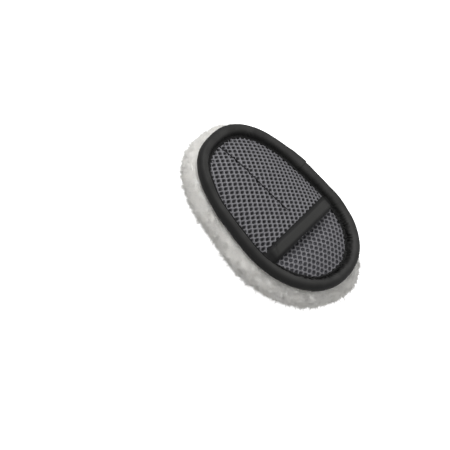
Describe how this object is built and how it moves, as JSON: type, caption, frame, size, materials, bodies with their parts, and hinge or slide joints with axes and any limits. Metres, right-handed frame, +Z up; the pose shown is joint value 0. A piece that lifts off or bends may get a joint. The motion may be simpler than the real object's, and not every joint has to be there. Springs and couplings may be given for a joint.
{
  "type": "wash mitt",
  "caption": "Oval wash mitt: wool pile on the washing face, bound edge, and an air-mesh back with a domed hand pocket closed by a strap across its mouth.",
  "frame": {"origin": "centre of the oval on the plane the pile rests on", "axes": "+X from the fingertips towards the wrist, +Y across the mitt, +Z up out of the hand side"},
  "size_m": [0.2475, 0.1754, 0.0521],
  "materials": {
    "wool_pile": "soft off-white wool pile",
    "ground_cloth": "plain knitted cloth",
    "foam": "open-cell sponge",
    "air_mesh": "grey knitted spacer mesh with open cells",
    "binding_tape": "black woven tape with a slight sheen",
    "strap_tape": "smooth matte black tape",
    "thread": "black sewing thread"
  },
  "bodies": {
    "mitt_base": {"plush_pile": "wool_pile", "plush_ground_cloth": "ground_cloth", "foam_pad": "foam", "base_mesh": "air_mesh", "edge_binding": "binding_tape", "binding_needle_thread": "thread", "binding_bobbin_thread": "thread"},
    "hand_pocket": {"pocket_mesh": "air_mesh", "dart_thread": "thread", "hand_strap": "strap_tape", "strap_thread": "thread"}
  },
  "joints": [
    {"name": "pocket_lift", "type": "hinge", "parent": "mitt_base", "child": "hand_pocket", "pos_m": [-0.0934, 0, 0.0376], "axis": [0, -1, 0], "range_deg": [0, 12]}
  ]
}
